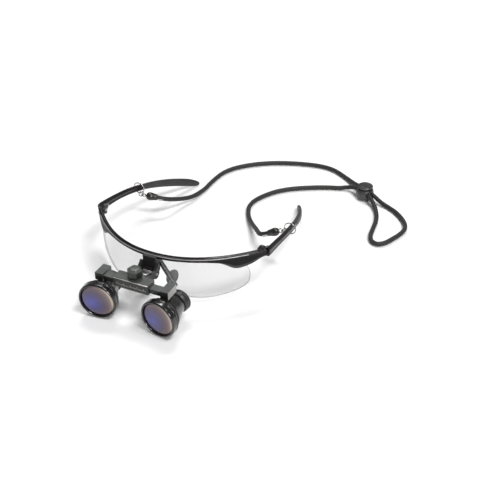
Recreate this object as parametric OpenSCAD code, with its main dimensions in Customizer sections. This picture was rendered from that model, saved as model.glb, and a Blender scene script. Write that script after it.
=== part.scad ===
// Flip-up dental loupes on a half-rim sport frame, with a neck cord.
// +Z is up, +Y points from the loupes back along the temples, +X is the viewer's right.
// The frame stands on the floor on its objective rings and its temple tips.

/* [Frame] */
// Half the width of the brow bar at its ends
brow_half_w = 74; // [70:1:78]
// How far back the brow bar's ends sweep
brow_sweep = 42; // [40:0.5:44]
// Height of the brow bar's top edge over the floor, at the bridge
brow_top = 43.2; // [42.6:0.2:44]
// Thickness of the brow bar, front to back
brow_t = 3.6; // [3.4:0.1:4]
// Thickness of the clear lenses
lens_t = 1.8; // [1.4:0.1:2.2]

/* [Temples] */
// Distance from the bridge to the end of the temples
temple_reach = 172; // [168:1:176]
// Distance between the centres of the two temple tips, halved
tip_half_gap = 52; // [48:1:56]
// Thickness of a temple arm
arm_t = 4.2; // [3.4:0.1:4.4]
// Height of the rubber tip at its broadest
tip_h = 8; // [6.4:0.2:8.4]

/* [Loupes] */
// Distance between the two eyepiece centres
pupil_distance = 61; // [59:1:64]
// Turn of each barrel towards the common working point, degrees
convergence = 8; // [5:0.5:8.5]
// Outer radius of the objective rings
objective_r = 15.5; // [14.5:0.5:16]
// Length of a barrel, objective ring to eyecup
barrel_l = 31; // [29:1:32]
// Outer radius of the eyecups
eyecup_r = 8.8; // [8:0.2:9.4]

/* [Strap] */
// Diameter of the neck cord
cord_d = 4; // [3.6:0.1:4]
// Outer radius of the cord lock
lock_r = 8.2; // [8:0.1:8.6]

/* [Hidden] */

$fn = 48;
eps = 0.01;
// The origin is under the middle of the frame, so the bridge lies this far in front of it
bridge_y = -64.4;

// ---- Plan curves, measured from the bridge (x to the side, y back) ----
brow_pow = 2.16;
// How far the bar's top edge drops from the bridge to its ends
brow_drop = 1.6;
function brow_y(x) = brow_sweep * pow(abs(x) / brow_half_w, brow_pow);
function brow_slope(x) = sign(x) * brow_sweep * brow_pow / brow_half_w * pow(abs(x) / brow_half_w, brow_pow - 1);
// A point of the brow curve moved outwards along its normal by d
function brow_pt(x, d) =
  let (m = brow_slope(x), n = sqrt(1 + m * m))
  [x + d * m / n, brow_y(x) - d / n];
function brow_band(x0, x1, d0, d1, steps = 28) = concat(
  [for (i = [0 : steps]) brow_pt(x0 + (x1 - x0) * i / steps, d1)],
  [for (i = [steps : -1 : 0]) brow_pt(x0 + (x1 - x0) * i / steps, d0)]);

temple_y0 = 45;
temple_bow_y = 50;
temple_max_x = 77;
function temple_x(y) = y < temple_bow_y
  ? temple_max_x - 0.02 * pow(temple_bow_y - y, 2)
  : temple_max_x - (temple_max_x - tip_half_gap) * pow((y - temple_bow_y) / (temple_reach - 2 - temple_bow_y), 2.63);
function temple_z(y) = let (s = y - 40) 38.1 - 0.08 * s - 0.001513 * s * s;
// A band along the temple's plan curve between y0 and y1, d0 to d1 out from its middle
function temple_band(y0, y1, d0, d1, steps = 24) = concat(
  [for (i = [0 : steps]) let (y = y0 + (y1 - y0) * i / steps) [temple_x(y) + d1, y]],
  [for (i = [steps : -1 : 0]) let (y = y0 + (y1 - y0) * i / steps) [temple_x(y) + d0, y]]);
// The side outline: h(y) is the height of the section at y, centred on temple_z
function arm_h(y) = 5.4 + 2.6 * pow(max(0, (75 - y) / 35), 1.5);
function paddle_h(y) =
  let (
    u = (y - tip_y0) / (temple_reach - tip_y0),
    body = 5.2 + (tip_h - 5.2) * sin(min(1, u / 0.75) * 90),
    left = temple_reach - y,
    nose = 13
  )
  left < nose ? body * sqrt(max(0.02, 1 - pow((nose - left) / nose, 2))) : body;
tip_y0 = 107;
tang_y1 = 138;

// ---- Places, measured from the bridge ----
hinge_x = 71.8;
hinge_y = 45.2;
hinge_z = 38.1;
// The temple hinges lean back, and a little sideways so that one temple folds over the other
hinge_lean = 10;
hinge_stack = 5.5;
hinge_pin_r = 0.8;
knuckle_r = 2.3;
running_gap = 0.05;

flip_y = -8;
flip_z = 30;
flip_pin_r = 1.2;
block_w = 11;
ear_x0 = 5.65;
ear_t = 2.45;
knuckle_half = 3.6;

rail_y0 = -33;
rail_y1 = -23;
rail_z0 = 29;
rail_z1 = 37;
rail_half_w = 15;
rail_wall = 1.6;
slider_h = 4;
slider_z = 30.4;
cover_t = 1.2;
slide_gap = 0.15;
slider_d = 6.8;
end_x0 = 24.8;
end_x1 = 31.6;
end_y0 = -32.2;
end_l = 12.4;
knob_y = -25.4;
knob_r = 6;
knob_z0 = rail_z1 + 0.3;
knob_z1 = 45;

barrel_z = objective_r;
eye_y = -10.5;
eye_x = pupil_distance / 2;

// ---- The cord, points chosen by hand, measured from the bridge ----
cord_z = 2.1;
lock_at = [100, 215];
lock_turn = -33;
lock_cord_z = 6.5;
lock_pitch = 2.3;
left_start = [-60, 109.5, 17];
right_start = [55.7, 94.5, 20];
// Both ends of the two holes through the cord lock
lock_dir = [cos(lock_turn), sin(lock_turn)];
lock_side = [-sin(lock_turn), cos(lock_turn)];
hole_reach = 9.5;
function lock_mouth(side, way) = [
  lock_at[0] + lock_side[0] * lock_pitch * side + lock_dir[0] * hole_reach * way,
  lock_at[1] + lock_side[1] * lock_pitch * side + lock_dir[1] * hole_reach * way,
  lock_cord_z];
LEFT_ROUTE = [
  left_start, [-55.5, 111.8, 15.8], [-52.5, 115.5, 14], [-50.5, 120.5, 11.6], [-48.5, 126.5, 9], [-46, 133.5, 6.5],
  [-43, 142, 4.5], [-41.5, 152, 3], [-40.5, 163, 2.2], [-40.5, 175, cord_z], [-40, 187, cord_z],
  [-37.5, 201, cord_z], [-30, 214.5, cord_z], [-16, 228, cord_z], [1, 238.5, cord_z], [22, 246.5, cord_z],
  [42, 250.5, cord_z], [57, 248.5, cord_z], [72, 240, cord_z], [84, 230.5, 3.4]];
LOOP_ROUTE = [
  [117.5, 208.5, 3.4], [125, 205.5, cord_z], [134, 200, cord_z], [142, 192.5, cord_z], [148, 184, cord_z],
  [150.5, 175, cord_z], [149, 166, cord_z], [145.5, 156.5, cord_z], [141.5, 148, cord_z],
  [136, 143.5, cord_z], [130, 146, cord_z], [126.5, 154, cord_z], [125, 165, cord_z],
  [123.5, 177, cord_z], [120, 189, cord_z], [114.5, 199.5, 3.4]];
RIGHT_ROUTE = [
  right_start, [51.2, 94.3, 17.9], [46.5, 97, 15.4], [41.5, 103.5, 12.6], [36.5, 110.5, 10], [31.5, 117, 7.4],
  [26, 124.5, 4.8], [20, 133, 2.9], [15, 141.5, cord_z], [11, 152, cord_z], [11, 163.5, cord_z],
  [15.5, 176, cord_z], [23, 188, cord_z], [33.5, 198, cord_z], [46.5, 206.5, cord_z], [61, 214, cord_z],
  [73, 218.5, cord_z], [82, 221, 3.6]];

// ---- Helpers ----
module place() { translate([0, bridge_y, 0]) children(); }
// side is 1 on the right and -1 on the left
module on_side(side) { mirror([side < 0 ? 1 : 0, 0, 0]) children(); }
module plan(points, z0, z1) { translate([0, 0, z0]) linear_extrude(z1 - z0) polygon(points); }
// An outline in x and z, extruded along y
module front_cut(points, y0, y1) {
  translate([0, y1, 0]) rotate([90, 0, 0]) linear_extrude(y1 - y0) polygon(points);
}
// An outline in y and z, extruded along x
module side_cut(points, x0, x1) {
  translate([x0, 0, 0]) rotate([90, 0, 90]) linear_extrude(x1 - x0) polygon(points);
}
module torus(r, wire) { rotate_extrude() translate([r, 0]) circle(wire, $fn = 24); }
// Turns +Z to the direction from a to b and puts children at a
module along(a, b) {
  d = b - a;
  translate(a) rotate([0, acos(d[2] / norm(d)), atan2(d[1], d[0])]) children();
}
module screw(r, head_r, length, head_h) {
  cylinder(r = r, h = length);
  difference() {
    cylinder(r = head_r, h = head_h);
    translate([-head_r, -0.3, -eps]) cube([2 * head_r, 0.6, 0.5]);
  }
}

// ---- Frame ----
screw_z = 40.4;
module hinge_frame(side) {
  on_side(side) translate([hinge_x, hinge_y, hinge_z]) rotate([-hinge_lean, 0, 0])
    rotate([0, side * hinge_stack, 0]) children();
}
wing = [
  [71, 34.98], [60, 35.18], [49, 37.18],
  [53, 34.6], [56.5, 31], [59, 29.8], [63, 30], [67.5, 31.2], [71, 33.4]];
function brow_front(side) = concat(
  [for (i = [0 : 20]) let (x = 80 * i / 20) [side * x, brow_top - brow_drop * pow(x / brow_half_w, 2)]],
  [[side * 80, 35.6], [side * 75, 35.4], [side * 71, 35], [side * 60, 35.2], [side * 49, 37.2],
   [side * 40, 38.8], [side * 24, 39.4], [0, 39.2]]);
module brow_frame() {
  color("#17161a") place() difference() {
    union() {
      for (s = [-1, 1]) intersection() {
        plan(brow_band(-eps, s * 77, -brow_t / 2, brow_t / 2), 30, 50);
        front_cut(brow_front(s), -10, hinge_y - 0.9);
      }
      for (s = [-1, 1]) hinge_frame(s) for (z = [-3.5, 1.3]) translate([0, 0, z]) {
        cylinder(r = knuckle_r, h = 2.2);
        linear_extrude(2.2) polygon([[-1.6, -6.5], [3.2, -4.6], [2.2, -0.5], [-2.2, 0]]);
      }
    }
    // The lenses sit in a groove in the underside
    plan(brow_band(-67.6, 67.6, -lens_t / 2 - 0.1, lens_t / 2 + 0.1, 48), 28, groove_top);
    // Room for the temples' middle knuckles, and the hinge pins
    for (s = [-1, 1]) hinge_frame(s) {
      translate([0, 0, -1.3]) cylinder(r = knuckle_r + 0.3, h = 2.6);
      translate([0, 0, -6]) cylinder(r = hinge_pin_r, h = 12);
    }
    for (x = [-3.4, 3.4]) translate([x, 3, screw_z]) rotate([90, 0, 0]) cylinder(r = 0.7, h = 8);
  }
}
groove_top = 40.9;
lens_front = [
  [7.2, 40.8], [7.2, 36.9], [9.3, 31.5], [12.5, 24.5], [17.5, 13.4], [22, 8.8], [29.5, 5.9], [39.5, 5.3], [48.5, 6.3],
  [57, 8.4], [62.5, 10.4], [65.6, 13], [67, 17], [67.2, 22], [66.4, 27], [64.5, 31], [61, 33.5], [56, 34.8],
  [53, 38], [51, 40.8]];
module lens(side) {
  color([0.86, 0.88, 0.9, 0.4]) place() on_side(side) intersection() {
    plan(brow_band(2, 68, -lens_t / 2, lens_t / 2), 2, 44);
    front_cut(lens_front, -10, 50);
  }
}
module lens_left() { lens(-1); }
module lens_right() { lens(1); }
// The tab behind each lens's outer corner carries on the brow bar's wing
module wing_tab(side) {
  color("#26252a") place() on_side(side) difference() {
    intersection() {
      plan(brow_band(44, 76, -brow_t / 2, brow_t / 2 - 0.05), 26, 40);
      front_cut(wing, -10, hinge_y - 3);
    }
    plan(brow_band(40, 68.4, -lens_t / 2 - 0.1, lens_t / 2 + 0.1), 20, 40);
  }
}
module wing_tab_left() { wing_tab(-1); }
module wing_tab_right() { wing_tab(1); }
leg_top = [3.2, 3.6, 35.5];
leg_end = [15, 5.2, 13.5];
pad_c = [12, 8.6, 17.4];
module nose_bracket() {
  color("#2a292c") place() {
    difference() {
      translate([-5.2, 1.85, 33.6]) cube([10.4, 2.6, 5.4]);
      for (s = [-1, 1]) on_side(s) translate([7.6, 0, 30]) rotate([0, -27, 0]) cube([4, 8, 12]);
    }
    for (s = [-1, 1]) on_side(s) {
      along(leg_top, leg_end) cylinder(r = 1.25, h = norm(leg_end - leg_top));
      translate(leg_end) sphere(1.6);
      along([13.3, 4.9, 17.2], pad_c) cylinder(r = 0.9, h = 3.9);
    }
  }
}
// An oval rubber pad, a slice of a sphere, turned to lie on the side of the nose
module nose_pad(side) {
  color("#6c6b6e") place() on_side(side) translate(pad_c) rotate([0, 12, -38]) intersection() {
    rotate([0, -90, 0]) linear_extrude(2.6) union() {
      for (z = [-2.6, 2.6]) translate([z, 0]) circle(5.2);
      translate([-2.6, -5.2]) square([5.2, 10.4]);
    }
    translate([12.2, 0, 0]) sphere(15, $fn = 96);
  }
}
module nose_pad_left() { nose_pad(-1); }
module nose_pad_right() { nose_pad(1); }
module mount_block() {
  color("#232223") place() difference() {
    union() {
      translate([-block_w / 2, -4.8, 30]) cube([block_w, 4.8 - brow_t / 2, 12.2]);
      translate([-block_w / 2, -4.8, 27.6]) cube([block_w, 6.4, 11.5]);
      translate([-knuckle_half, flip_y - 0.4, 27.6]) cube([2 * knuckle_half, 4, 5]);
    }
    translate([0, flip_y, flip_z]) rotate([0, 90, 0]) translate([0, 0, -20]) cylinder(r = knuckle_out, h = 40);
    for (x = [-3.4, 3.4]) translate([x, 3, screw_z]) rotate([90, 0, 0]) cylinder(r = 0.7, h = 7.4);
  }
}
knuckle_out = 2.3;
// The metal barrel of the flip hinge
module flip_knuckle() {
  color("#8f908e") place() translate([-knuckle_half, flip_y, flip_z]) rotate([0, 90, 0]) difference() {
    cylinder(r = knuckle_out, h = 2 * knuckle_half);
    translate([0, 0, -1]) cylinder(r = flip_pin_r, h = 20);
  }
}
module mount_screws() {
  color("#8d8d8f") place() for (x = [-3.4, 3.4]) translate([x, brow_t / 2 + 0.7, screw_z]) rotate([90, 0, 0])
    screw(0.7, 1.2, 6, 0.7);
}
flip_pin_half = ear_x0 + ear_t + 0.4;
module flip_pin() {
  color("#a4a4a2") place() translate([-flip_pin_half, flip_y, flip_z]) rotate([0, 90, 0])
    cylinder(r = flip_pin_r, h = 2 * flip_pin_half);
}
module temple_hinge_pins() {
  color("#9a9a9a") place() for (s = [-1, 1]) hinge_frame(s) translate([0, 0, -3.6]) {
    cylinder(r = hinge_pin_r, h = 7.2);
    translate([0, 0, 7.1]) cylinder(r = 1.3, h = 0.5);
  }
}

// ---- Temples ----
function side_outline(y0, y1, kind, steps = 24) = concat(
  [for (i = [0 : steps]) let (y = y0 + (y1 - y0) * i / steps) [y, temple_z(y) + section_h(kind, y) / 2]],
  [for (i = [steps : -1 : 0]) let (y = y0 + (y1 - y0) * i / steps) [y, temple_z(y) - section_h(kind, y) / 2]]);
function section_h(kind, y) =
  kind == "arm" ? arm_h(y) : kind == "tip" ? paddle_h(y) : kind == "tang" ? 2.6 : 2.8;
module temple_arm(side) {
  color("#17161a") place() on_side(side) {
    intersection() {
      plan(temple_band(temple_y0, tip_y0, -arm_t / 2, arm_t / 2), 0, 60);
      side_cut(side_outline(temple_y0, tip_y0, "arm"), 40, 90);
    }
    intersection() {
      plan(temple_band(tip_y0 - 1, tang_y1, -0.7, 0.7), 0, 60);
      side_cut(side_outline(tip_y0 - 1, tang_y1, "tang"), 40, 90);
    }
  }
}
module temple_arm_left() { temple_arm(-1); }
module temple_arm_right() { temple_arm(1); }
module temple_tip(side) {
  color("#2b2a2c") place() on_side(side) difference() {
    intersection() {
      plan(temple_band(tip_y0 + 0.02, temple_reach, -2.1, 2.1), -5, 60);
      side_cut(side_outline(tip_y0 + 0.02, temple_reach, "tip", 40), 30, 90);
    }
    intersection() {
      plan(temple_band(tip_y0 - 1, tang_y1 + 0.2, -0.8, 0.8), 0, 60);
      side_cut(side_outline(tip_y0 - 1, tang_y1 + 0.2, "pocket"), 40, 90);
    }
  }
}
module temple_tip_left() { temple_tip(-1); }
module temple_tip_right() { temple_tip(1); }
// A metal insert in the end of each arm, with the middle knuckle of its hinge
module hinge_barrel(side) {
  color("#6f6f70") place() difference() {
    hinge_frame(side) translate([0, 0, -1.25]) {
      cylinder(r = knuckle_r, h = 2.5);
      linear_extrude(2.5) polygon([[-1.6, 0], [1.6, -1.2], [3.4, 0.6], [3.4, 8.6], [1.4, 8.6], [-1, 3]]);
    }
    hinge_frame(side) translate([0, 0, -3]) cylinder(r = hinge_pin_r + running_gap, h = 6);
    on_side(side) plan(temple_band(38, 60, -arm_t / 2, arm_t / 2), 20, 60);
  }
}
module hinge_barrel_left() { hinge_barrel(-1); }
module hinge_barrel_right() { hinge_barrel(1); }

// ---- Strap ----
ring_r = 5;
wire_r = 0.5;
link_r = 2.2;
eye_r = 1.9;
sleeve_l = 10;
function unit(v) = v / norm(v);
function end_start(s) = s < 0 ? left_start : right_start;
function sleeve_dir(s) = s < 0 ? unit(LEFT_ROUTE[1] - LEFT_ROUTE[0]) : unit(RIGHT_ROUTE[1] - RIGHT_ROUTE[0]);
function sleeve_head(s) = end_start(s) - sleeve_dir(s) * sleeve_l;
function eye_c(s) = sleeve_head(s) - sleeve_dir(s) * (eye_r + 0.2);
// The cord's pull turns each ring inwards about its temple, by this angle from straight down
ring_turns = [17, 62];
link_lean = 0.2;
// The left link and eye are twisted about their own lengths, so that each wire passes freely through the next
link_twists = [42, 0];
eye_twists = [48, 0];
function ring_turn(s) = ring_turns[s < 0 ? 0 : 1];
function pull(s) = [-s * sin(ring_turn(s)), 0, -cos(ring_turn(s))];
function link_dir(s) = unit(pull(s) + [0, -s * link_lean, 0]);
// Wires that are linked lie this far apart, centre to centre
wire_pitch = 2 * wire_r + 0.2;
function link_c(s) = eye_c(s) - sleeve_dir(s) * eye_r - link_dir(s) * (link_r - wire_pitch);
function ring_low(s) = link_c(s) - link_dir(s) * (link_r - wire_pitch);
function ring_c(s) = ring_low(s) - ring_r * pull(s);
function ring_tangent(s) = [cos(ring_turn(s)), 0, -s * sin(ring_turn(s))];
// Turns +Z to a direction
module facing(d) { rotate([0, acos(d[2] / norm(d)), atan2(d[1], d[0])]) children(); }
module strap_ring(side) {
  color("#c9c9c6") place() translate(ring_c(side)) rotate([90, 0, 0]) torus(ring_r, wire_r);
}
module strap_ring_left() { strap_ring(-1); }
module strap_ring_right() { strap_ring(1); }
// A small ring that joins the wire ring on the temple to the eye of the strap's end
module strap_link(side) {
  color("#b9b9b5") place() translate(link_c(side)) rotate(link_twists[side < 0 ? 0 : 1], link_dir(side))
    facing(ring_tangent(side)) torus(link_r, wire_r);
}
module strap_link_left() { strap_link(-1); }
module strap_link_right() { strap_link(1); }
// The eye of the cord's end, a wire loop whose feet are moulded into the sleeve
module strap_eye(side) {
  color("#b9b9b5") place() difference() {
    translate(eye_c(side)) rotate(eye_twists[side < 0 ? 0 : 1], sleeve_dir(side))
      facing(cross(ring_tangent(side), sleeve_dir(side))) torus(eye_r, wire_r);
    along(sleeve_head(side), end_start(side)) cylinder(r = 3, h = 3);
  }
}
module strap_eye_left() { strap_eye(-1); }
module strap_eye_right() { strap_eye(1); }
module strap_end(side) {
  color("#1d1c1d") place() along(sleeve_head(side), end_start(side)) rotate_extrude()
    polygon([[0, 0], [2.2, 0.4], [3.3, 1.8], [3.6, 3.6], [3.4, 5.6], [2.8, 8], [2.5, sleeve_l], [0, sleeve_l]]);
}
module strap_end_left() { strap_end(-1); }
module strap_end_right() { strap_end(1); }
// The metal clip that closes the cord's end, open on its upper side
crimp_l = 5;
crimp_t = 0.4;
crimp_gap = 0.3;
module strap_crimp(side) {
  d = sleeve_dir(side);
  color("#c3c3c1") place() along(end_start(side) + d * 0.3, end_start(side) + d * 6) difference() {
    cylinder(r = cord_d / 2 + crimp_gap + crimp_t, h = crimp_l);
    translate([0, 0, -1]) cylinder(r = cord_d / 2 + crimp_gap, h = crimp_l + 3);
    translate([-crimp_l - crimp_t, -crimp_l, -1]) cube([crimp_l, 2 * crimp_l, crimp_l + 3]);
  }
}
module strap_crimp_left() { strap_crimp(-1); }
module strap_crimp_right() { strap_crimp(1); }
// A smooth curve through the route's points, a few steps between each pair
function catmull(p, i, t) =
  let (
    n = len(p),
    a = p[max(0, i - 1)], b = p[i], c = p[min(n - 1, i + 1)], d = p[min(n - 1, i + 2)]
  )
  0.5 * (2 * b + (c - a) * t + (2 * a - 5 * b + 4 * c - d) * t * t + (3 * b - a - 3 * c + d) * t * t * t);
function flat_normal(v) = let (h = [-v[1], v[0], 0]) h / norm(h);
cord_sides = 8;
module cord_tube(route, steps = 1) {
  path = concat(
    [for (i = [0 : len(route) - 2]) for (k = [0 : steps - 1]) catmull(route, i, k / steps)],
    [route[len(route) - 1]]);
  n = len(path);
  rings = [for (i = [0 : n - 1])
    let (
      t = unit(path[min(n - 1, i + 1)] - path[max(0, i - 1)]),
      h = flat_normal(t),
      v = cross(t, h)
    )
    for (k = [0 : cord_sides - 1]) let (a = 360 * (k + 0.5) / cord_sides)
      path[i] + cord_d / 2 * (cos(a) * h + sin(a) * v)];
  faces = concat(
    [[for (k = [0 : cord_sides - 1]) k]],
    [for (i = [0 : n - 2]) for (k = [0 : cord_sides - 1])
      let (a = i * cord_sides + k, b = i * cord_sides + (k + 1) % cord_sides)
      [a, a + cord_sides, b + cord_sides]],
    [for (i = [0 : n - 2]) for (k = [0 : cord_sides - 1])
      let (a = i * cord_sides + k, b = i * cord_sides + (k + 1) % cord_sides)
      [a, b + cord_sides, b]],
    [[for (k = [cord_sides - 1 : -1 : 0]) (n - 1) * cord_sides + k]]);
  color("#202022") place() polyhedron(rings, faces);
}
module cord_left() { cord_tube(concat(LEFT_ROUTE, [lock_mouth(1, -1), lock_mouth(1, 0)])); }
module cord_loop() {
  cord_tube(concat([lock_mouth(1, 0), lock_mouth(1, 1)], LOOP_ROUTE, [lock_mouth(-1, 1), lock_mouth(-1, 0)]));
}
module cord_right() { cord_tube(concat(RIGHT_ROUTE, [lock_mouth(-1, -1), lock_mouth(-1, 0)])); }
lock_h = 10.4;
plunger_r = 5.8;
lock_floor = 1;
foot_z0 = 3.2;
window_z0 = 4.2;
window_z1 = 10.9;
button_top = 13.4;
press_travel = 1.8;
module lock_place() { place() translate([lock_at[0], lock_at[1], 0]) rotate([0, 0, lock_turn]) children(); }
module cord_lock_body() {
  color("#232224") lock_place() difference() {
    rotate_extrude() polygon([
      [0, 0], [5.4, 0], [6.9, 0.7], [7.9, 2.2], [lock_r, 4.6], [8, 7.4], [7.4, 9.4], [6.7, lock_h], [0, lock_h]]);
    translate([0, 0, lock_floor]) cylinder(r = plunger_r + 0.15, h = lock_h);
    for (s = [-1, 1]) translate([-12, s * lock_pitch, lock_cord_z]) rotate([0, 90, 0])
      cylinder(r = cord_d / 2 + 0.15, h = 24);
  }
}
module cord_lock_button() {
  color("#2c2b2d") lock_place() difference() {
    rotate_extrude() polygon([
      [0, foot_z0], [plunger_r, foot_z0], [plunger_r, lock_h + press_travel + 0.1], [7, lock_h + press_travel + 0.2],
      [7, 12.8], [6.2, button_top], [0, button_top]]);
    translate([-10, -lock_pitch - cord_d / 2 - 0.25, window_z0])
      cube([20, 2 * lock_pitch + cord_d + 0.5, window_z1 - window_z0]);
  }
}
module cord_lock_spring() {
  color("#b0b0ae") lock_place() for (k = [0 : 2])
    translate([0, 0, lock_floor + 0.3 + 0.75 * k]) torus(4.4 - 0.8 * k, 0.3);
}

// ---- Loupe carrier ----
ear_side = [
  [-23.5, 30.4], [-15, 29.6], [-9.4, 26.4], [-6.4, 26.4], [-4.4, 28.4], [-3.6, 32], [-2.6, 36.2], [-4.6, 37.6],
  [-6.6, 35.8], [-9, 33.6], [-13, 33.4], [-18, 35.4], [-23.5, 36]];
module rail_housing() {
  color("#5d625d") place() difference() {
    union() {
      translate([-rail_half_w, rail_y0, rail_z0 + cover_t])
        cube([2 * rail_half_w, rail_y1 - rail_y0, rail_z1 - rail_z0 - cover_t]);
      translate([-ear_x0 - ear_t, rail_y1 - eps, rail_z0 + cover_t]) cube([2 * (ear_x0 + ear_t), 4.6, 5]);
      for (s = [-1, 1]) on_side(s) side_cut(ear_side, ear_x0, ear_x0 + ear_t);
    }
    // The channel that the two slider bars run in, open at both ends
    translate([-30, rail_y0 + rail_wall - slide_gap, rail_z0]) cube([60, slider_d + 2 * slide_gap,
      slider_z + slider_h + slide_gap - rail_z0]);
    // The clamp shoe's pocket and the knob screw's hole
    translate([-5.2, rail_y0 + rail_wall + 0.4, slider_z]) cube([10.4, 6, slider_h + 1.4]);
    translate([0, knob_y, rail_z0 + 4]) cylinder(r = 1.25 + running_gap, h = 9);
    translate([0, flip_y, flip_z]) rotate([0, 90, 0]) translate([0, 0, -20])
      cylinder(r = flip_pin_r + running_gap, h = 40);
    for (x = [-11, 11]) translate([x, rail_y1 - 0.8, rail_z0 - 1]) cylinder(r = 0.45, h = 5);
    // A fine groove behind the front lip
    translate([-rail_half_w - 1, rail_y0 + 0.7, rail_z1 - 0.3]) cube([2 * rail_half_w + 2, 0.5, 1]);
  }
}
// The plate that closes the channel from below
module rail_cover() {
  color("#4c504c") place() difference() {
    translate([-rail_half_w, rail_y0, rail_z0]) cube([2 * rail_half_w, rail_y1 - rail_y0, cover_t]);
    for (x = [-11, 11]) translate([x, rail_y1 - 0.8, rail_z0 - 1]) cylinder(r = 0.45, h = 5);
  }
}
module rail_cover_screws() {
  color("#8b8b8c") place() for (x = [-11, 11]) translate([x, rail_y1 - 0.8, rail_z0 - 0.4])
    screw(0.45, 0.75, 4, 0.4);
}
module clamp_shoe() {
  color("#77776f") place() translate([-5, rail_y0 + rail_wall + 0.6, slider_z + slider_h + 0.2]) cube([10, 5.6, 1]);
}
knob_h = knob_z1 - knob_z0;
module lock_knob() {
  color("#4a4c48") place() translate([0, knob_y, knob_z0]) difference() {
    intersection() {
      rotate([0, 0, 12]) translate([0, 0, -1]) cylinder(r = knob_r * 1.05, h = knob_h + 2, $fn = 6);
      rotate_extrude() polygon([
        [0, 0], [4.2, 0], [4.2, 0.8], [knob_r - 0.5, 0.8], [knob_r, 1.6], [knob_r, knob_h - 1.4],
        [knob_r - 0.9, knob_h], [0, knob_h]]);
    }
    translate([0, 0, -1]) cylinder(r = 1.25, h = 20);
  }
}
// The screw starts just above the clamp shoe
shoe_top = 1.25;
knob_screw_r = 1.25;
module knob_screw() {
  color("#9b9b98") place() translate([0, knob_y, slider_z + slider_h + shoe_top])
    cylinder(r = knob_screw_r, h = knob_z1 - slider_z - slider_h - shoe_top);
}

// ---- Sliders and barrels ----
// The end block stays this far above the barrel's front collar
block_gap = 0.4;
module slider(side) {
  color("#565b56") place() on_side(side) difference() {
    union() {
      translate([5, rail_y0 + rail_wall, slider_z]) cube([end_x0 - 4, slider_d, slider_h]);
      translate([end_x0, end_y0, rail_z0 + block_gap]) cube([end_x1 - end_x0, end_l, 6.8 - block_gap]);
    }
    translate([post_x, post_y, 20]) cylinder(r = 1, h = 12.4);
  }
}
module slider_left() { slider(-1); }
module slider_right() { slider(1); }
// The barrel's own frame: the origin is the eyepiece's rear centre, and +Z runs forward along its axis
module barrel_frame(side) {
  place() on_side(side) translate([eye_x, eye_y, barrel_z]) rotate([90, 0, 0]) rotate([0, -convergence, 0])
    children();
}
post_x = (end_x0 + end_x1) / 2;
post_y = end_y0 + 5.6;
module post(side) {
  color("#1e1d1f") difference() {
    place() on_side(side) translate([post_x, post_y, 0]) union() {
      translate([0, 0, 19]) cylinder(r = 3.1, h = rail_z0 + block_gap - 19);
      for (z = [26.2, 27.8]) translate([0, 0, z]) cylinder(r = 3.4, h = 0.8);
      translate([0, 0, 19]) cylinder(r = 1, h = 13.4);
    }
    barrel_frame(side) barrel_solid();
  }
}
module post_left() { post(-1); }
module post_right() { post(1); }
ring_l = 6.5;
function barrel_outline() = [
  [0, 3.2], [7.4, 3.2], [7.6, 7], [12.6, barrel_l - 10.5], [13.6, barrel_l - 10],
  [13.9, barrel_l - ring_l], [0, barrel_l - ring_l]];
module barrel_solid() { rotate_extrude() polygon(barrel_outline()); }
module barrel(side) {
  color("#131214") barrel_frame(side) difference() {
    barrel_solid();
    translate([0, 0, -1]) cylinder(r = 5.8, h = 10);
    translate([0, 0, 8.9]) cylinder(r1 = 5.8, r2 = 11.2, h = 11.6);
    translate([0, 0, 20.4]) cylinder(r = 12.4, h = 10);
  }
}
module barrel_left() { barrel(-1); }
module barrel_right() { barrel(1); }
module objective_ring(side) {
  color("#0f0f11") barrel_frame(side) translate([0, 0, barrel_l - ring_l]) difference() {
    union() {
      cylinder(r = objective_r, h = ring_l - 0.8, $fn = 96);
      translate([0, 0, ring_l - 0.81]) cylinder(r1 = objective_r, r2 = objective_r - 0.8, h = 0.81, $fn = 96);
    }
    translate([0, 0, -eps]) cylinder(r = 12.4, h = ring_l, $fn = 96);
    translate([0, 0, 1]) cylinder(r = 13.5, h = ring_l, $fn = 96);
  }
}
module objective_ring_left() { objective_ring(-1); }
module objective_ring_right() { objective_ring(1); }
// A cemented doublet, seen through its front face
dome_r = 70;
dome_rise = 5.4;
module objective_lens(side) {
  color([0.25, 0.2, 0.5]) barrel_frame(side) translate([0, 0, barrel_l - ring_l + 1.02]) intersection() {
    cylinder(r = 13.45, h = 8);
    translate([0, 0, dome_rise - dome_r]) sphere(dome_r, $fn = 128);
  }
}
module objective_lens_left() { objective_lens(-1); }
module objective_lens_right() { objective_lens(1); }
// The threaded ring inside the barrel that holds the optics apart
module retaining_ring(side) {
  color("#2a2a2c") barrel_frame(side) translate([0, 0, 20.5]) difference() {
    cylinder(r = 12.3, h = 3.6);
    translate([0, 0, -1]) cylinder(r = 10.8, h = 6);
  }
}
module retaining_ring_left() { retaining_ring(-1); }
module retaining_ring_right() { retaining_ring(1); }
module eyepiece_lens(side) {
  color([0.6, 0.62, 0.7]) barrel_frame(side) translate([0, 0, 4]) difference() {
    cylinder(r = 5.75, h = 3.4);
    translate([0, 0, -15.2]) sphere(16, $fn = 64);
    translate([0, 0, 18.4]) sphere(16, $fn = 64);
  }
}
module eyepiece_lens_left() { eyepiece_lens(-1); }
module eyepiece_lens_right() { eyepiece_lens(1); }
module eyecup(side) {
  color("#1b1a1c") barrel_frame(side) rotate_extrude() polygon([
    [6.4, 0], [8.4, 0], [eyecup_r, 0.5], [eyecup_r, 4.6], [8.2, 6.4], [7.9, 6.4], [7.9, 3.15], [6.4, 3.15]]);
}
module eyecup_left() { eyecup(-1); }
module eyecup_right() { eyecup(1); }

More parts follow.
